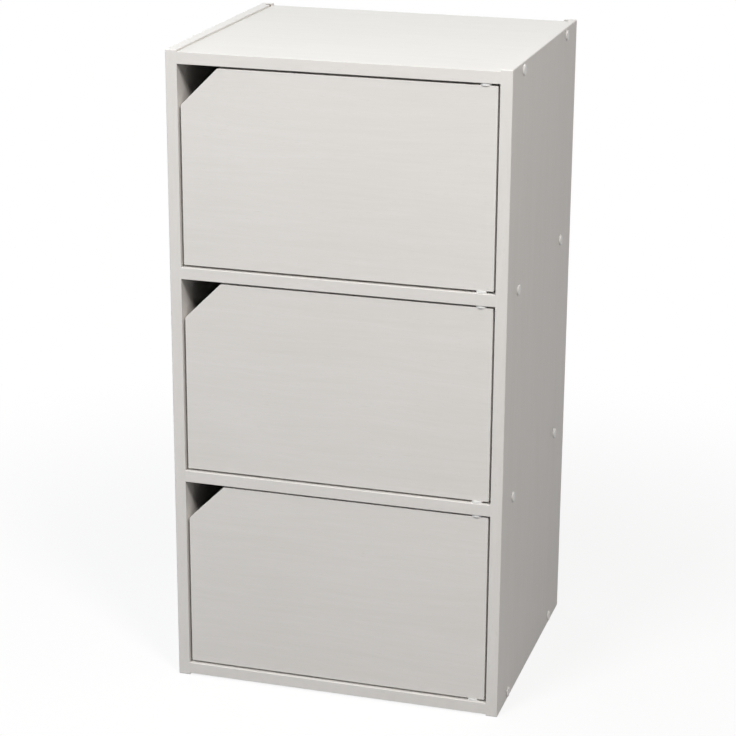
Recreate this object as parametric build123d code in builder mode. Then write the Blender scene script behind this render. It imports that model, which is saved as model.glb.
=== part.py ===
"""Three-tier storage cabinet of laminated board, with an inset door in each bay.

Millimetres. Z is up and the doors face -Y. The origin is on the floor, under the middle of the
cabinet. Each door turns on two plastic pivots near its right edge and is held shut by a magnetic
catch at its left edge. Its upper left corner is cut off, which leaves a gap for a finger.
"""

import os
from math import radians, tan

from build123d import *

os.makedirs("parts", exist_ok=True)

# Driving dimensions of the carcass
cabinet_width = 345.0  # over the side panels, without the screw caps
cabinet_depth = 290.0
side_thickness = 12.0
board_thickness = 12.0  # top board, shelves and bottom board
bay_height = 204.0
side_overhang = 2.0  # how far the side panels pass the top board and the bottom board
end_board_inset = 3.0  # rear edges of the top and bottom boards, from those of the side panels
side_edge_radius = 1.2
board_edge_radius = 0.4
bay_names = ["lower", "middle", "upper"]
board_names = ["bottom_board", "lower_shelf", "upper_shelf", "top_board"]

# Back panel and the groove that it slides in
back_thickness = 2.5
groove_clearance = 0.25  # on each face of the back panel
groove_depth = 5.0
groove_end_clearance = 0.5  # from the back panel's edges to the bottom of the groove
groove_to_rear = 12.0  # from the side panels' rear edges to the middle of the groove
shelf_to_back = 0.5

# Screws through the side panels into the board ends, their caps, and the dowels beside them
screw_front_inset = 45.0
screw_rear_inset = 50.0
screw_length = 40.0
screw_head_radius = 4.5
screw_crest_radius = 2.1
screw_root_radius = 1.5
screw_thread_pitch = 2.4
screw_tip_length = 3.0
screw_clearance = 0.1  # round the shanks and the heads of all the screws
countersink_angle = 90.0
screw_hole_spare = 2.0  # how much deeper the holes are than the screws
recess_radius = 1.4
recess_depth = 2.0
recess_slot_length = 4.6
recess_slot_width = 0.9
cap_radius = 5.25
cap_height = 1.8
cap_rim_height = 1.45  # where the crown would meet the rim if its edge weren't rounded
cap_edge_radius = 0.9
cap_stud_length = 1.6
cap_stud_clearance = 0.05
dowel_radius = 3.0
dowel_length = 28.0
dowel_chamfer = 0.8
dowel_skin = 4.0  # board left between a dowel hole and the side panel's outer face
dowel_clearance = 0.05
dowel_hole_spare = 0.5
dowel_to_screw = 30.0

# Doors
door_thickness = 12.0
door_gap = 2.5  # all round the door
door_recess = 2.0  # the door's face behind the fronts of the boards
door_cut = 38.0  # legs of the cut corner
door_cut_radius = 4.0
door_corner_radius = 0.8
door_edge_radius = 0.5

# Door pivots: a plug in the door's edge, a flange in the gap and a pin in the board. The flange has
# flat sides and a rounded nose that stands in front of the door's face.
pivot_swing_clearance = 1.08  # least gap between the door's turning corner and the side panel
pivot_nose_radius = 7.5
pivot_flange_width = 10.0
pivot_flange_inset = 0.2  # the flange's back edge within the door's back face
pivot_flange_corner_radius = 0.8
pivot_end_play = 0.2  # between the flange and the board
pivot_pin_radius = 2.5
pivot_pin_clearance = 0.07
pivot_pin_chamfer = 0.6
pivot_bore_web = 2.0  # board left between the bores in the two faces of a shelf
pivot_bore_spare = 0.5  # from the end of the pin to the bottom of the bore
plug_radius = 4.0
plug_core_radius = 3.5
plug_length = 12.0
plug_barb_count = 4
plug_clearance = 0.05
plug_hole_spare = 0.5

# Magnetic catches
catch_above_floor = 40.0  # middle of the catch above the floor of its bay
catch_length = 46.0
catch_depth = 13.0
catch_flange = 2.5
catch_body_length = 25.0
catch_projection = 14.0  # from the side panel
catch_corner_radius = 1.5
catch_screw_spacing = 35.0
catch_slot_length = 5.0
magnet_from_side = 8.5  # middle of the magnet from the side panel
magnet_thickness = 3.5
magnet_length = 18.0
magnet_depth = 8.0
pole_thickness = 1.5
pole_length = 19.0
pole_reach = 0.7  # how far the pole plates stand out of the housing
pocket_clearance = 0.1
catch_air_gap = 0.3
catch_screw_length = 10.0

# Strike plates on the doors
strike_thickness = 1.0
strike_width = 10.0
strike_length = 30.0
strike_corner_radius = 2.0
strike_screw_length = 9.0

# Small screws of the catches and the strike plates
small_head_radius = 2.4
small_crest_radius = 1.4
small_root_radius = 1.0
small_thread_pitch = 1.2
small_tip_length = 1.5
small_recess_radius = 0.7
small_recess_depth = 0.9
small_slot_length = 2.6
small_slot_width = 0.6
pan_head_height = 1.5

# Levels and faces worked out from the driving dimensions
cabinet_height = 2 * side_overhang + len(board_names) * board_thickness + len(bay_names) * bay_height
front_y = -cabinet_depth / 2
rear_y = cabinet_depth / 2
inner_x = cabinet_width / 2 - side_thickness
levels = range(len(board_names))
board_bottoms = [side_overhang + level * (board_thickness + bay_height) for level in levels]
board_middles = [bottom + board_thickness / 2 for bottom in board_bottoms]
bay_floors = [bottom + board_thickness for bottom in board_bottoms[:-1]]
groove_y = rear_y - groove_to_rear
groove_width = back_thickness + 2 * groove_clearance
screw_rows = [front_y + screw_front_inset, rear_y - screw_rear_inset]
dowel_rows = [screw_rows[0] + dowel_to_screw, screw_rows[1] - dowel_to_screw]
dowel_side_depth = side_thickness - dowel_skin
screw_points = [(y, z) for z in board_middles for y in screw_rows]
dowel_points = [(y, z) for z in board_middles for y in dowel_rows]
head_slope = tan(radians(countersink_angle / 2))
screw_hole_radius = screw_crest_radius + screw_clearance
screw_sink_radius = screw_head_radius + screw_clearance
dowel_hole_radius = dowel_radius + dowel_clearance
small_hole_radius = small_crest_radius + screw_clearance
small_sink_radius = small_head_radius + screw_clearance

door_front = front_y + door_recess
door_back = door_front + door_thickness
door_left = -inner_x + door_gap
door_right = inner_x - door_gap

# The corner of the door turns on a circle that has to pass the side panel, so the pivots stand in
# from the door's edge as far as that needs: inset^2 + (thickness / 2)^2 = (inset + free)^2.
pivot_free = door_gap - pivot_swing_clearance
pivot_inset = ((door_thickness / 2) ** 2 - pivot_free**2) / (2 * pivot_free)
pivot_x = door_right - pivot_inset
pivot_y = (door_front + door_back) / 2
pivot_bore_radius = pivot_pin_radius + pivot_pin_clearance
pivot_bore_depth = (board_thickness - pivot_bore_web) / 2
pivot_flange_thickness = door_gap - pivot_end_play
pivot_flange_back = door_thickness / 2 - pivot_flange_inset
pivot_pin_length = pivot_bore_depth + pivot_end_play - pivot_bore_spare

magnet_x = -inner_x + magnet_from_side
strike_face = door_back + strike_thickness
pole_front = strike_face + catch_air_gap
catch_front = pole_front + pole_reach
catch_y = catch_front + catch_depth / 2
pocket_width = magnet_thickness + 2 * (pole_thickness + pocket_clearance)
catch_heights = [floor + catch_above_floor for floor in bay_floors]
catch_hole_depth = catch_screw_length - catch_flange + screw_clearance
strike_hole_depth = strike_screw_length - strike_thickness + screw_clearance


def planes_across(x, points, facing):
    """Planes square to X, one at each (y, z) point, facing +X or -X."""
    return [Plane(origin=(x, y, z), z_dir=(facing, 0, 0)) for y, z in points]


def catch_screw_points(catch_z):
    """The (y, z) points of the two screws of the catch at one height."""
    return [(catch_y, catch_z + end * catch_screw_spacing / 2) for end in (-1, 1)]


def thread_profile(crest, root, pitch, start, end):
    """Radius and height of the ridges between two depths below a screw's head."""
    turns = int((end - start) / pitch)
    ridge = (end - start) / turns
    profile = [(crest, -start)]
    for turn in range(turns):
        profile.append((root, -start - (turn + 0.5) * ridge))
        profile.append((crest, -start - (turn + 1) * ridge))
    return profile


# The screws and the caps are made once, on the Z axis with the head up, and placed in groups
with BuildPart() as side_screw:
    with BuildSketch(Plane.XZ):
        with BuildLine():
            Polyline(
                (0, -recess_depth),
                (recess_radius, -recess_depth),
                (recess_radius, 0),
                (screw_head_radius, 0),
                (screw_crest_radius, (screw_crest_radius - screw_head_radius) / head_slope),
                *thread_profile(
                    screw_crest_radius,
                    screw_root_radius,
                    screw_thread_pitch,
                    side_thickness,
                    screw_length - screw_tip_length,
                ),
                (0, -screw_length),
                close=True,
            )
        make_face()
    revolve(axis=Axis.Z)
    with BuildSketch(Plane.XY):
        Rectangle(recess_slot_length, recess_slot_width)
        Rectangle(recess_slot_width, recess_slot_length)
    extrude(amount=-recess_depth, mode=Mode.SUBTRACT)

with BuildPart() as screw_cap:
    with BuildSketch(Plane.XZ) as cap_profile:
        with BuildLine():
            TangentArc((0, cap_height), (cap_radius, cap_rim_height), tangent=(1, 0))
            Polyline(
                (cap_radius, cap_rim_height),
                (cap_radius, 0),
                (recess_radius - cap_stud_clearance, 0),
                (recess_radius - cap_stud_clearance, -cap_stud_length),
                (0, -cap_stud_length),
                (0, cap_height),
            )
        make_face()
        fillet(cap_profile.vertices().sort_by(Axis.X)[-2:].sort_by(Axis.Y)[-1], cap_edge_radius)
    revolve(axis=Axis.Z)

with BuildPart() as catch_screw:
    with BuildSketch(Plane.XZ):
        with BuildLine():
            TangentArc((small_recess_radius, pan_head_height), (small_head_radius, 0), tangent=(1, 0))
            Polyline(
                (small_head_radius, 0),
                *thread_profile(
                    small_crest_radius,
                    small_root_radius,
                    small_thread_pitch,
                    0,
                    catch_screw_length - small_tip_length,
                ),
                (0, -catch_screw_length),
                (0, pan_head_height - small_recess_depth),
                (small_recess_radius, pan_head_height - small_recess_depth),
                (small_recess_radius, pan_head_height),
            )
        make_face()
    revolve(axis=Axis.Z)
    with BuildSketch(Plane.XY.offset(pan_head_height)):
        Rectangle(small_slot_length, small_slot_width)
        Rectangle(small_slot_width, small_slot_length)
    extrude(amount=-small_recess_depth, mode=Mode.SUBTRACT)

with BuildPart() as strike_screw:
    with BuildSketch(Plane.XZ):
        with BuildLine():
            Polyline(
                (0, -small_recess_depth),
                (small_recess_radius, -small_recess_depth),
                (small_recess_radius, 0),
                (small_head_radius, 0),
                *thread_profile(
                    small_crest_radius,
                    small_root_radius,
                    small_thread_pitch,
                    (small_head_radius - small_crest_radius) / head_slope,
                    strike_screw_length - small_tip_length,
                ),
                (0, -strike_screw_length),
                close=True,
            )
        make_face()
    revolve(axis=Axis.Z)
    with BuildSketch(Plane.XY):
        Rectangle(small_slot_length, small_slot_width)
        Rectangle(small_slot_width, small_slot_length)
    extrude(amount=-small_recess_depth, mode=Mode.SUBTRACT)

# Side panels: rounded outer edges, a groove for the back panel, holes for the screws and dowels
for side_name, side in (("left", -1), ("right", 1)):
    outer_faces = planes_across(side * cabinet_width / 2, screw_points, side)
    with BuildPart() as side_panel:
        with BuildSketch(Plane.XY):
            with Locations((side * (inner_x + side_thickness / 2), 0)):
                Rectangle(side_thickness, cabinet_depth)
        extrude(amount=cabinet_height)
        inner_edges = side_panel.faces().sort_by(Axis.X)[0 if side > 0 else -1].edges()
        fillet(side_panel.edges() - inner_edges, side_edge_radius)
        with BuildSketch(Plane.XY):
            with Locations((side * (inner_x + groove_depth / 2), groove_y)):
                Rectangle(groove_depth, groove_width)
        extrude(amount=cabinet_height, mode=Mode.SUBTRACT)
        with Locations(*outer_faces):
            CounterSinkHole(screw_hole_radius, screw_sink_radius, side_thickness, countersink_angle)
        with Locations(*planes_across(side * inner_x, dowel_points, -side)):
            Hole(dowel_hole_radius, dowel_side_depth + dowel_hole_spare)
        if side_name == "left":
            for catch_z in catch_heights:
                with Locations(*planes_across(-inner_x, catch_screw_points(catch_z), 1)):
                    Hole(small_hole_radius, catch_hole_depth)
    side_panel.part.label = f"{side_name}_side_panel"
    export_step(side_panel.part, f"parts/{side_name}_side_panel.step")

    with BuildPart() as side_screws:
        with Locations(*outer_faces):
            add(side_screw.part)
    side_screws.part.label = f"{side_name}_side_screws"
    export_step(side_screws.part, f"parts/{side_name}_side_screws.step")

    with BuildPart() as screw_caps:
        with Locations(*outer_faces):
            add(screw_cap.part)
    screw_caps.part.label = f"{side_name}_screw_caps"
    export_step(screw_caps.part, f"parts/{side_name}_screw_caps.step")

    with BuildPart() as dowels:
        with Locations(*planes_across(side * (inner_x + dowel_side_depth), dowel_points, side)):
            Cylinder(dowel_radius, dowel_length, align=(Align.CENTER, Align.CENTER, Align.MAX))
        chamfer(dowels.edges().filter_by(GeomType.CIRCLE), dowel_chamfer)
    dowels.part.label = f"{side_name}_dowels"
    export_step(dowels.part, f"parts/{side_name}_dowels.step")

# Boards across the cabinet: the top and bottom boards hold the back panel, the shelves stop short of it
for level, board_name in enumerate(board_names):
    is_bottom = level == 0
    is_top = level == len(board_names) - 1
    board_bottom = board_bottoms[level]
    board_top = board_bottom + board_thickness
    shelf_rear = groove_y - back_thickness / 2 - shelf_to_back
    board_rear = rear_y - end_board_inset if is_bottom or is_top else shelf_rear
    screw_ends = [(y, board_middles[level]) for y in screw_rows]
    dowel_ends = [(y, board_middles[level]) for y in dowel_rows]
    with BuildPart() as board:
        with BuildSketch(Plane.XY.offset(board_bottom)):
            with Locations((0, (front_y + board_rear) / 2)):
                Rectangle(2 * inner_x, board_rear - front_y)
        extrude(amount=board_thickness)
        fillet(board.edges().filter_by(Axis.X).group_by(Axis.Y)[0], board_edge_radius)
        if is_bottom:
            with BuildSketch(Plane.XY.offset(board_top)):
                with Locations((0, groove_y)):
                    Rectangle(2 * inner_x, groove_width)
            extrude(amount=-groove_depth, mode=Mode.SUBTRACT)
        if is_top:
            with BuildSketch(Plane.XY.offset(board_bottom)):
                with Locations((0, groove_y)):
                    Rectangle(2 * inner_x, groove_width)
            extrude(amount=groove_depth, mode=Mode.SUBTRACT)
        for side in (-1, 1):
            with Locations(*planes_across(side * inner_x, screw_ends, side)):
                Hole(screw_hole_radius, screw_length - side_thickness + screw_hole_spare)
            with Locations(*planes_across(side * inner_x, dowel_ends, side)):
                Hole(dowel_hole_radius, dowel_length - dowel_side_depth + dowel_hole_spare)
        if not is_top:
            with Locations(Plane(origin=(pivot_x, pivot_y, board_top), z_dir=(0, 0, 1))):
                Hole(pivot_bore_radius, pivot_bore_depth)
        if not is_bottom:
            with Locations(Plane(origin=(pivot_x, pivot_y, board_bottom), z_dir=(0, 0, -1))):
                Hole(pivot_bore_radius, pivot_bore_depth)
    board.part.label = board_name
    export_step(board.part, f"parts/{board_name}.step")

# Back panel: one sheet in the grooves of the side panels, the top board and the bottom board
back_reach = groove_depth - groove_end_clearance
back_low = bay_floors[0] - back_reach
back_high = board_bottoms[-1] + back_reach
with BuildPart() as back_panel:
    with BuildSketch(Plane.XY.offset(back_low)):
        with Locations((0, groove_y)):
            Rectangle(2 * (inner_x + back_reach), back_thickness)
    extrude(amount=back_high - back_low)
back_panel.part.label = "back_panel"
export_step(back_panel.part, "parts/back_panel.step")

# Door pivot, made once with its flange standing on the XY plane and its pin up
with BuildPart() as pivot:
    barb = plug_length / plug_barb_count
    with BuildSketch(Plane.XZ):
        with BuildLine():
            barbs = []
            for step in range(plug_barb_count):
                barbs.append((plug_radius, -step * barb))
                barbs.append((plug_core_radius, -(step + 1) * barb))
            pin_top = pivot_flange_thickness + pivot_pin_length
            Polyline(
                (0, pin_top),
                (pivot_pin_radius - pivot_pin_chamfer, pin_top),
                (pivot_pin_radius, pin_top - pivot_pin_chamfer),
                (pivot_pin_radius, 0),
                *barbs,
                (0, -plug_length),
                close=True,
            )
        make_face()
    revolve(axis=Axis.Z)
    with BuildSketch() as flange:
        Circle(pivot_nose_radius)
        with Locations((0, pivot_flange_back)):
            Rectangle(
                pivot_flange_width,
                pivot_flange_back + pivot_nose_radius,
                align=(Align.CENTER, Align.MAX),
                mode=Mode.INTERSECT,
            )
        fillet(flange.vertices().group_by(Axis.Y)[0], pivot_flange_corner_radius)
    extrude(amount=pivot_flange_thickness)

# Doors, their pivots and strike plates, and the catches on the left side panel, bay by bay
for bay_name, bay_floor, catch_z in zip(bay_names, bay_floors, catch_heights):
    door_bottom = bay_floor + door_gap
    door_top = bay_floor + bay_height - door_gap
    pivot_top_seat = Plane(origin=(pivot_x, pivot_y, door_top), z_dir=(0, 0, 1))
    pivot_bottom_seat = Plane(origin=(pivot_x, pivot_y, door_bottom), x_dir=(-1, 0, 0), z_dir=(0, 0, -1))
    door_screw_seat = Plane(origin=(magnet_x, door_back, catch_z), z_dir=(0, 1, 0))
    strike_seat = Plane(origin=(magnet_x, strike_face, catch_z), z_dir=(0, 1, 0))

    with BuildPart() as door:
        with BuildSketch(Plane.XZ.offset(-door_front)):
            with BuildLine():
                FilletPolyline(
                    (door_left, door_bottom),
                    (door_right, door_bottom),
                    (door_right, door_top),
                    (door_left + door_cut, door_top),
                    (door_left, door_top - door_cut),
                    radius=[*[door_corner_radius] * 3, *[door_cut_radius] * 2],
                    close=True,
                )
            make_face()
        extrude(amount=-door_thickness)
        fillet(door.faces().filter_by(Axis.Y).edges(), door_edge_radius)
        with Locations(pivot_top_seat, pivot_bottom_seat):
            Hole(plug_radius + plug_clearance, plug_length + plug_hole_spare)
        with Locations(door_screw_seat):
            Hole(small_hole_radius, strike_hole_depth)
    door.part.label = f"{bay_name}_door_panel"
    export_step(door.part, f"parts/{bay_name}_door_panel.step")

    with BuildPart() as top_pivot:
        with Locations(pivot_top_seat):
            add(pivot.part)
    top_pivot.part.label = f"{bay_name}_door_top_pivot"
    export_step(top_pivot.part, f"parts/{bay_name}_door_top_pivot.step")

    with BuildPart() as bottom_pivot:
        with Locations(pivot_bottom_seat):
            add(pivot.part)
    bottom_pivot.part.label = f"{bay_name}_door_bottom_pivot"
    export_step(bottom_pivot.part, f"parts/{bay_name}_door_bottom_pivot.step")

    with BuildPart() as strike:
        with BuildSketch(Plane.XZ.offset(-door_back)):
            with Locations((magnet_x, catch_z)):
                RectangleRounded(strike_width, strike_length, strike_corner_radius)
        extrude(amount=-strike_thickness)
        with Locations(strike_seat):
            CounterSinkHole(small_hole_radius, small_sink_radius, strike_thickness, countersink_angle)
    strike.part.label = f"{bay_name}_strike_plate"
    export_step(strike.part, f"parts/{bay_name}_strike_plate.step")

    with BuildPart() as strike_fixing:
        with Locations(strike_seat):
            add(strike_screw.part)
    strike_fixing.part.label = f"{bay_name}_strike_screw"
    export_step(strike_fixing.part, f"parts/{bay_name}_strike_screw.step")

    with BuildPart() as housing:
        with BuildSketch(Plane.YZ.offset(-inner_x)):
            with Locations((catch_y, catch_z)):
                RectangleRounded(catch_depth, catch_length, catch_corner_radius)
        extrude(amount=catch_flange)
        with BuildSketch(Plane.YZ.offset(-inner_x)):
            with Locations((catch_y, catch_z)):
                RectangleRounded(catch_depth, catch_body_length, catch_corner_radius)
        extrude(amount=catch_projection)
        fillet(housing.faces().sort_by(Axis.X)[-1].edges(), catch_corner_radius / 2)
        with BuildSketch(Plane.XZ.offset(-catch_front)):
            with Locations((magnet_x, catch_z)):
                Rectangle(pocket_width, pole_length + 2 * pocket_clearance)
        extrude(amount=-(magnet_depth + pocket_clearance), mode=Mode.SUBTRACT)
        with BuildSketch(Plane.YZ.offset(-inner_x)):
            with Locations((catch_y, catch_z)):
                with GridLocations(0, catch_screw_spacing, 1, 2):
                    SlotOverall(catch_slot_length, 2 * small_hole_radius, rotation=90)
        extrude(amount=catch_flange, mode=Mode.SUBTRACT)
    housing.part.label = f"{bay_name}_catch_housing"
    export_step(housing.part, f"parts/{bay_name}_catch_housing.step")

    with BuildPart() as magnet:
        with BuildSketch(Plane.XZ.offset(-catch_front)):
            with Locations((magnet_x, catch_z)):
                Rectangle(magnet_thickness, magnet_length)
        extrude(amount=-magnet_depth)
    magnet.part.label = f"{bay_name}_catch_magnet"
    export_step(magnet.part, f"parts/{bay_name}_catch_magnet.step")

    with BuildPart() as poles:
        with BuildSketch(Plane.XZ.offset(-pole_front)):
            with Locations((magnet_x, catch_z)):
                with GridLocations(magnet_thickness + pole_thickness, 0, 2, 1):
                    Rectangle(pole_thickness, pole_length)
        extrude(amount=-(pole_reach + magnet_depth))
    poles.part.label = f"{bay_name}_catch_poles"
    export_step(poles.part, f"parts/{bay_name}_catch_poles.step")

    ear_faces = planes_across(-inner_x + catch_flange, catch_screw_points(catch_z), 1)
    with BuildPart() as catch_screws:
        with Locations(*ear_faces):
            add(catch_screw.part)
    catch_screws.part.label = f"{bay_name}_catch_screws"
    export_step(catch_screws.part, f"parts/{bay_name}_catch_screws.step")
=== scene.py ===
"""Looks of a narrow upright storage cabinet in off-white printed board, with three inset doors.

The cabinet stands on the floor and its doors face -Y. Everything is in metres.
"""
from math import cos, radians, sin

import bmesh
import bpy
from mathutils import Matrix, Vector

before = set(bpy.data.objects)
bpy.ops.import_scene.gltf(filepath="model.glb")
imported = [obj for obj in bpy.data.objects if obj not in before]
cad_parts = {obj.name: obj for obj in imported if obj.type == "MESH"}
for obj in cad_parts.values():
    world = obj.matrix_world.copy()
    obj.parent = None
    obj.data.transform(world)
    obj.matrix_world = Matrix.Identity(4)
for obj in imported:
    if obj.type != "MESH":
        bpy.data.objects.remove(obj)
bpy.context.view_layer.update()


# The two side panels. Particle board 12 mm thick, wrapped in off-white paper with a faint printed
# wood grain that runs upright on the faces and along the strips on the ends. The rear edges are
# sawn and left raw, and so is the groove that the back panel slides in.


class Value:
    """The output of a node. Arithmetic on a number adds Math nodes to the same finish."""

    def __init__(self, finish, socket):
        self.finish = finish
        self.socket = socket

    def maths(self, operation, *numbers):
        return self.finish.node("ShaderNodeMath", {"operation": operation}, dict(enumerate(numbers)))

    def __add__(self, other):
        return self.maths("ADD", self, other)

    def __radd__(self, other):
        return self.maths("ADD", other, self)

    def __sub__(self, other):
        return self.maths("SUBTRACT", self, other)

    def __rsub__(self, other):
        return self.maths("SUBTRACT", other, self)

    def __mul__(self, other):
        return self.maths("MULTIPLY", self, other)

    def __rmul__(self, other):
        return self.maths("MULTIPLY", other, self)

    def __gt__(self, other):
        return self.maths("GREATER_THAN", self, other)

    def __lt__(self, other):
        return self.maths("LESS_THAN", self, other)

    def __abs__(self):
        return self.maths("ABSOLUTE", self)

    def wrapped(self, low, high):
        return self.maths("WRAP", self, high, low)


class Finish:
    """One finish of the cabinet: a material made of nodes that read the object's own space."""

    def __init__(self, name):
        self.material = bpy.data.materials.new(name)
        self.material.use_nodes = True
        self.tree = self.material.node_tree
        self.tree.nodes.clear()
        self.place = self.node("ShaderNodeTexCoord", output="Object")
        self.facing = Value(self, self.place.socket.node.outputs["Normal"])

    def node(self, kind, settings=None, inputs=None, output=0):
        """Adds a node, with its settings first, then the values or links of its sockets."""
        made = self.tree.nodes.new(kind)
        for name, setting in (settings or {}).items():
            if name == "stops":
                ramp = made.color_ramp.elements
                while len(ramp) < len(setting):
                    ramp.new(1.0)
                for stop, (position, colour) in zip(ramp, setting):
                    stop.position = position
                    stop.color = colour
            else:
                setattr(made, name, setting)
        for name, value in (inputs or {}).items():
            if isinstance(value, Value):
                self.tree.links.new(value.socket, made.inputs[name])
            else:
                made.inputs[name].default_value = value
        return Value(self, made.outputs[output]) if made.outputs else None

    def parts(self, vector):
        """The x, y and z of a vector, as numbers by their letters."""
        split = self.node("ShaderNodeSeparateXYZ", inputs={"Vector": vector}).socket.node
        return {letter: Value(self, split.outputs[letter.upper()]) for letter in "xyz"}

    def vector(self, x, y, z):
        return self.node("ShaderNodeCombineXYZ", inputs={"X": x, "Y": y, "Z": z})

    def noise(self, place, size, detail=2.0, roughness=0.5):
        """Noise from 0 to 1 about 0.5, whose blotches have this size along x, y and z."""
        scale = tuple(1 / length for length in size)
        stretched = self.node("ShaderNodeMapping", inputs={"Vector": place, "Scale": scale})
        return self.node(
            "ShaderNodeTexNoise", {"noise_dimensions": "3D"},
            {"Vector": stretched, "Scale": 1.0, "Detail": detail, "Roughness": roughness})

    def fade(self, value, start, end):
        """0 where the value is at start, and 1 where it is at end, with a soft step between."""
        return self.node(
            "ShaderNodeMapRange", {"interpolation_type": "SMOOTHSTEP"},
            {"Value": value, "From Min": start, "From Max": end})

    def mixed(self, factor, first, second):
        """The first colour where the factor is 0, and the second where it is 1."""
        return self.node(
            "ShaderNodeMix", {"data_type": "RGBA"}, {0: factor, 6: first, 7: second}, output=2)

    def surface(self, colour, roughness, height, depth, **constants):
        """Ends the finish in its shader. A height of 1 stands this depth above a height of 0."""
        bump = self.node("ShaderNodeBump", inputs={"Height": height, "Distance": depth})
        shader = self.node(
            "ShaderNodeBsdfPrincipled",
            inputs={"Base Color": colour, "Roughness": roughness, "Normal": bump, **constants})
        self.node("ShaderNodeOutputMaterial", inputs={"Surface": shader})

    def dress(self, *names):
        """Gives this finish to CAD nodes."""
        for name in names:
            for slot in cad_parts[name].material_slots:
                slot.material = self.material


def tint(colour, shares):
    """A colour with each of its channels multiplied by a share of its own."""
    return tuple(channel * share for channel, share in zip(colour, shares)) + (1.0,)


paper_colour = (0.775, 0.755, 0.727)
paper_dark_share, paper_light_share = (0.905, 0.898, 0.880), (1.095, 1.102, 1.120)
paper_roughness = 0.44
paper_relief = 0.00006
paper_shine = {"Specular IOR Level": 0.3}
squarely = 0.7  # a face points along an axis where its normal's part along it is more than this


def printed_paper(finish, along, across, through):
    """Colour, roughness and height of printed paper on a board with these axes.

    The grain runs along the first axis. On the board's ends it runs along the second instead, as on
    a strip that is glued there.
    """
    at, facing = finish.parts(finish.place), finish.parts(finish.facing)
    end = abs(facing[along]) > squarely
    length = at[along] + end * (at[across] - at[along])
    width = at[across] + end * (at[along] - at[across])
    straight = finish.vector(width, at[through], length)
    sway = finish.noise(straight, (0.08, 0.05, 0.22), detail=1.0)
    grain = finish.vector(width + 0.022 * sway, at[through], length)

    bands = finish.noise(grain, (0.016, 0.03, 0.50), detail=2.0)
    streaks = finish.noise(grain, (0.0040, 0.01, 0.070), detail=2.0, roughness=0.5)
    hairs = finish.noise(grain, (0.0005, 0.004, 0.022), detail=2.0, roughness=0.6)
    dashes = finish.noise(grain, (0.00042, 0.002, 0.0075), detail=0.0)
    pores = finish.fade(dashes, 0.70, 0.80) * finish.fade(streaks, 0.42, 0.60)
    cloud = finish.noise(straight, (0.12, 0.12, 0.12), detail=1.0)

    tone = (0.5 + 0.20 * (bands - 0.5) + 0.34 * (streaks - 0.5) + 0.26 * (hairs - 0.5)
            + 0.18 * (cloud - 0.5) - 0.24 * pores)
    dark, light = tint(paper_colour, paper_dark_share), tint(paper_colour, paper_light_share)
    colour = finish.mixed(tone, dark, light)
    roughness = paper_roughness + 0.12 * (hairs - 0.5) + 0.05 * (cloud - 0.5) + 0.06 * pores
    height = 0.5 * hairs + 0.3 * streaks - 0.6 * pores
    return colour, roughness, height


def raw_chips(finish, along, across, through, middle):
    """Colour, roughness and height of a sawn edge of particle board.

    Flat wood chips lie along the board. They are coarse in the core and finer towards the faces;
    the last argument gives the distance from the middle of the board.
    """
    at = finish.parts(finish.place)
    lying = finish.vector(at[along], at[across], at[through])

    def chips(long, thick):
        size = finish.node("ShaderNodeMapping", inputs={
            "Vector": lying, "Scale": (1 / long, 1 / long, 1 / thick)})
        cells = finish.node("ShaderNodeTexVoronoi", {}, {"Vector": size, "Scale": 1.0}, "Color")
        gaps = finish.node("ShaderNodeTexVoronoi", {"feature": "DISTANCE_TO_EDGE"},
                           {"Vector": size, "Scale": 1.0})
        return cells, gaps

    core, core_gaps = chips(0.0038, 0.0011)
    skin, skin_gaps = chips(0.0016, 0.0005)
    near_face = finish.fade(middle, 0.0026, 0.0040)
    wood = [(0.0, (0.16, 0.095, 0.05, 1)), (0.30, (0.42, 0.29, 0.175, 1)),
            (0.50, (0.57, 0.43, 0.28, 1)), (0.70, (0.66, 0.52, 0.35, 1)),
            (1.0, (0.76, 0.63, 0.46, 1))]
    coarse = finish.node("ShaderNodeValToRGB", {"stops": wood}, {"Fac": core})
    fine = finish.node("ShaderNodeValToRGB", {"stops": wood}, {"Fac": skin})
    chip_colour = finish.mixed(near_face, coarse, fine)
    gap = core_gaps + near_face * (skin_gaps - core_gaps)
    shade = finish.fade(gap, 0.0, 0.10)
    saw = finish.noise(lying, (0.0008, 0.0008, 0.0008), detail=3.0)
    colour = finish.mixed(shade * (0.60 + 0.9 * saw), (0.17, 0.105, 0.062, 1), chip_colour)
    return colour, 0.86 - 0.1 * shade, 0.7 * shade + 0.5 * saw


def painted_groove_shade(finish, raw, mask):
    """Raw board painted darker where the mask is 1: painted shade down in a groove."""
    return (finish.mixed(0.75 * mask, raw[0], (0.06, 0.04, 0.028, 1)), raw[1], raw[2])


def part_raw(finish, paper, raw, mask):
    """Colour, roughness and height that turn from paper to raw board where the mask is 1."""
    return (finish.mixed(mask, paper[0], raw[0]),
            paper[1] + mask * (raw[1] - paper[1]),
            paper[2] + mask * (raw[2] - paper[2]))


side_middle = 0.1665
groove_y, groove_half = 0.133, 0.0016
groove_bottom_x = 0.1660  # a little past the bottom of the groove, which is at 0.1655

side = Finish("side_laminate")
at, facing = side.parts(side.place), side.parts(side.facing)
in_groove = ((abs(at["y"] - groove_y) < groove_half) * (abs(at["x"]) < groove_bottom_x)
             * (abs(facing["z"]) < squarely))
side_raw = (facing["y"] > squarely) + in_groove > 0.5
# The raw board in the back panel's groove is darkened with painted shade.
chips = painted_groove_shade(side, raw_chips(side, "z", "y", "x", abs(abs(at["x"]) - side_middle)), in_groove)
side.surface(*part_raw(side, printed_paper(side, "z", "y", "x"), chips, side_raw),
             paper_relief, **paper_shine)
side.dress("left_side_panel", "right_side_panel")


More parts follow.
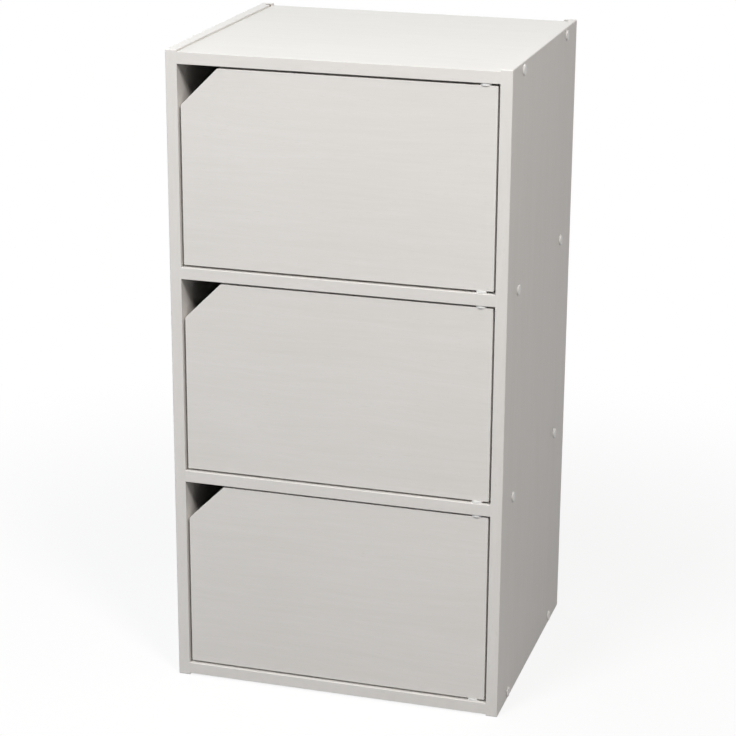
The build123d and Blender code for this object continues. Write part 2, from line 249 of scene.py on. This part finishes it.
# The top board, the two shelves and the bottom board. The same 12 mm board, butted between the side
# panels with its grain running across the cabinet. Only the hidden ends and the rear edges are raw.
board_pitch, lowest_middle = 0.216, 0.008
cabinet_middle, groove_bottom_reach = 0.332, 0.3234  # up to the bottoms of the grooves in the boards

board = Finish("board_laminate")
at, facing = board.parts(board.place), board.parts(board.facing)
from_middle = abs(at["z"].wrapped(lowest_middle - board_pitch / 2, lowest_middle + board_pitch / 2)
                  - lowest_middle)
in_groove = ((abs(at["y"] - groove_y) < groove_half)
             * (abs(at["z"] - cabinet_middle) < groove_bottom_reach))
board_raw = (facing["y"] > squarely) + in_groove + (abs(facing["x"]) > squarely) > 0.5
# The raw board in the back panel's groove is darkened with painted shade.
chips = painted_groove_shade(board, raw_chips(board, "x", "y", "z", from_middle), in_groove)
board.surface(*part_raw(board, printed_paper(board, "x", "y", "z"), chips, board_raw),
              paper_relief, **paper_shine)
board.dress("top_board", "upper_shelf", "lower_shelf", "bottom_board")


# The three doors. Flat 12 mm boards wrapped in the same paper on all sides and edges, with the grain
# lying level. The upper left corner is sawn off at 45 degrees as a finger grip and edged as well.
bays = ("lower", "middle", "upper")

door = Finish("door_laminate")
door.surface(*printed_paper(door, "x", "z", "y"), paper_relief, **paper_shine)
door.dress(*(f"{bay}_door_panel" for bay in bays))


# The back panel. Thin hardboard that slides in the grooves, printed off-white on the side that faces
# the compartments and left as raw brown pressed fibre behind.
back = Finish("back_hardboard")
facing = back.parts(back.facing)
fibres_across = back.noise(back.place, (0.0060, 0.002, 0.0005), detail=3.0, roughness=0.6)
fibres_up = back.noise(back.place, (0.0005, 0.002, 0.0060), detail=3.0, roughness=0.6)
blotches = back.noise(back.place, (0.045, 0.01, 0.045), detail=4.0, roughness=0.6)
specks = back.fade(back.noise(back.place, (0.0012, 0.002, 0.0012), detail=1.0), 0.66, 0.76)
pressed = 0.5 + 1.1 * (fibres_across - 0.5) + 1.1 * (fibres_up - 0.5) + 1.0 * (blotches - 0.5)
hardboard = back.node("ShaderNodeValToRGB", {"stops": [
    (0.0, (0.20, 0.118, 0.062, 1)), (0.5, (0.36, 0.235, 0.135, 1)),
    (1.0, (0.50, 0.352, 0.22, 1))]}, {"Fac": pressed})
speckled = back.mixed(0.6 * specks, hardboard, (0.12, 0.07, 0.04, 1))
raw_fibre = (speckled, 0.74 + 0.2 * (fibres_up - 0.5), fibres_across + fibres_up)
fibre_relief = 0.00008
behind = facing["y"] > -0.5  # all but the printed face, so the sawn edges are raw too
back.surface(*part_raw(back, printed_paper(back, "z", "x", "y"), raw_fibre, behind), fibre_relief)
back.dress("back_panel")


# Screw caps, door pivots and catch housings. Injection-moulded white plastic with a satin skin, a
# little whiter than the paper.
hands = ("left", "right")

plastic = Finish("white_plastic")
flow = plastic.noise(plastic.place, (0.006, 0.006, 0.006), detail=2.0)
skin = plastic.noise(plastic.place, (0.00025, 0.00025, 0.00025), detail=2.0)
moulded = plastic.mixed(flow, (0.80, 0.80, 0.785, 1), (0.88, 0.88, 0.87, 1))
plastic.surface(moulded, 0.33 + 0.14 * (skin - 0.5), skin, 0.00001, IOR=1.49)
plastic.dress(*(f"{hand}_screw_caps" for hand in hands),
              *(f"{bay}_door_{end}_pivot" for bay in bays for end in ("top", "bottom")),
              *(f"{bay}_catch_housing" for bay in bays))


# Screws, strike plates and the catches' pole plates. Bright zinc on steel, with the faint lines of
# the rolled strip running up the plates.
zinc = Finish("zinc_steel")
rolled = zinc.noise(zinc.place, (0.00015, 0.00015, 0.006), detail=2.0)
crystals = zinc.noise(zinc.place, (0.0012, 0.0012, 0.0012), detail=3.0)
plated = zinc.mixed(crystals, (0.50, 0.505, 0.51, 1), (0.70, 0.70, 0.69, 1))
zinc.surface(plated, 0.30 + 0.22 * (rolled - 0.5) + 0.2 * (crystals - 0.5), rolled, 0.000015,
             Metallic=1.0)
zinc.dress(*(f"{hand}_side_screws" for hand in hands),
           *(f"{bay}_{piece}" for bay in bays
             for piece in ("strike_plate", "strike_screw", "catch_poles", "catch_screws")))


# The catches' magnets. Sintered ferrite blocks, near black, with a fine pressed grain.
ferrite = Finish("ferrite")
grit = ferrite.noise(ferrite.place, (0.0003, 0.0003, 0.0003), detail=2.0)
pressed_grit = ferrite.mixed(grit, (0.045, 0.045, 0.048, 1), (0.10, 0.10, 0.105, 1))
ferrite.surface(pressed_grit, 0.55 + 0.2 * (grit - 0.5), grit, 0.00003)
ferrite.dress(*(f"{bay}_catch_magnet" for bay in bays))


# The dowels between boards and side panels. Turned beech with small darker flecks along the rod.
beech = Finish("beech")
rod = beech.noise(beech.place, (0.012, 0.0007, 0.0007), detail=3.0)
flecks = beech.fade(beech.noise(beech.place, (0.003, 0.0004, 0.0004), detail=1.0), 0.62, 0.72)
turned = beech.mixed(rod, (0.52, 0.35, 0.20, 1), (0.76, 0.58, 0.38, 1))
flecked = beech.mixed(0.45 * flecks, turned, (0.34, 0.20, 0.11, 1))
beech.surface(flecked, 0.6 + 0.2 * (rod - 0.5), rod, 0.00004)
beech.dress(*(f"{hand}_dowels" for hand in hands))


# The floor and the white surroundings. A pale floor that keeps a soft shadow round the feet and
# turns into plain white further out, where only the camera and reflections look at it.
floor_reach = 12.0
floor_albedo = 0.25  # for the light that it sends up to the cabinet
shadow_share = 0.16  # how much of what the camera sees near the feet is lit, and so holds the shadow
shadow_from, shadow_to = 0.35, 1.0  # the distances between which that share fades out

floor_mesh = bpy.data.meshes.new("floor")
sheet = bmesh.new()
bmesh.ops.create_grid(sheet, x_segments=1, y_segments=1, size=floor_reach)
sheet.to_mesh(floor_mesh)
sheet.free()
floor = bpy.data.objects.new("floor", floor_mesh)
bpy.context.scene.collection.objects.link(floor)


def seen(finish):
    """1 for rays that show the white surroundings, and 0 for rays that carry light."""
    rays = finish.node("ShaderNodeLightPath").socket.node.outputs
    shown = [Value(finish, rays[f"Is {kind} Ray"]) for kind in ("Camera", "Glossy", "Transmission")]
    return shown[0] + shown[1] + shown[2] > 0.5


ground = Finish("floor")
distance = ground.node("ShaderNodeVectorMath", {"operation": "LENGTH"}, {0: ground.place}, "Value")
lit = ground.node("ShaderNodeBsdfDiffuse", inputs={"Color": (0.95, 0.95, 0.95, 1)})
white = ground.node("ShaderNodeEmission", inputs={"Color": (1, 1, 1, 1), "Strength": 1.0})
bounce = ground.node("ShaderNodeBsdfDiffuse", inputs={"Color": (floor_albedo,) * 3 + (1,)})
shown_floor = ground.node("ShaderNodeMixShader", inputs={
    0: 1 - shadow_share * (1 - ground.fade(distance, shadow_from, shadow_to)), 1: lit, 2: white})
both = ground.node("ShaderNodeMixShader", inputs={0: seen(ground), 1: bounce, 2: shown_floor})
ground.node("ShaderNodeOutputMaterial", inputs={"Surface": both})
floor_mesh.materials.append(ground.material)

world = bpy.data.worlds.new("surroundings")
bpy.context.scene.world = world
world_strength = 0.06


class Surroundings(Finish):
    """The world's own nodes."""

    def __init__(self, world):
        world.use_nodes = True
        self.tree = world.node_tree
        self.tree.nodes.clear()


around = Surroundings(world)
strength = world_strength + seen(around) * (1 - world_strength)
backdrop = around.node("ShaderNodeBackground", inputs={"Color": (1, 1, 1, 1), "Strength": strength})
around.node("ShaderNodeOutputWorld", inputs={"Surface": backdrop})


# The studio lamps. Soft boxes: a large cool one in front on the left, one overhead that lights the top
# board, a smaller warm one in front on the right that lights the right side, and one low behind.
def soft_box(name, place, target, size, watts, colour=(1, 1, 1)):
    lamp = bpy.data.lights.new(name, "AREA")
    lamp.shape = "RECTANGLE"
    lamp.size, lamp.size_y = size
    lamp.energy = watts
    lamp.color = colour
    holder = bpy.data.objects.new(name, lamp)
    bpy.context.scene.collection.objects.link(holder)
    holder.location = place
    holder.rotation_euler = (Vector(target) - Vector(place)).to_track_quat("-Z", "Y").to_euler()


soft_box("left_box", (-0.90, -2.35, 2.4), (0, 0, 0.35), (1.0, 1.0), 54.5, (0.96, 0.98, 1.0))
soft_box("top_box", (-0.2, -0.3, 2.3), (0, 0, 0.6), (1.6, 1.6), 11.5, (0.90, 0.98, 1.0))
soft_box("right_box", (1.40, -1.60, 2.3), (0.1, -0.1, 0.45), (0.6, 0.6), 42.0, (1.0, 0.94, 0.90))
soft_box("rear_box", (-1.8, 2.0, 0.6), (0, 0, 0.30), (1.4, 1.0), 24.0)


# The camera, at the height and distance of the photograph and turned to the cabinet's right side.
azimuth, elevation, roll = radians(16.534), radians(18.385), radians(0.302)
target = Vector((-0.0092, 0.0, 0.3100))
distance_to_target = 2.393

lens = bpy.data.cameras.new("camera")
lens.sensor_width, lens.lens = 36.0, 111.25
camera = bpy.data.objects.new("camera", lens)
bpy.context.scene.collection.objects.link(camera)
back_axis = Vector((sin(azimuth) * cos(elevation), -cos(azimuth) * cos(elevation), sin(elevation)))
right_axis = Vector((0, 0, 1)).cross(back_axis).normalized()
up_axis = back_axis.cross(right_axis)
turned_right = cos(roll) * right_axis + sin(roll) * up_axis
turned_up = back_axis.cross(turned_right)
camera.matrix_world = (Matrix.Translation(target + distance_to_target * back_axis)
                       @ Matrix((turned_right, turned_up, back_axis)).transposed().to_4x4())
bpy.context.scene.camera = camera
bpy.context.scene.view_settings.view_transform = "Standard"
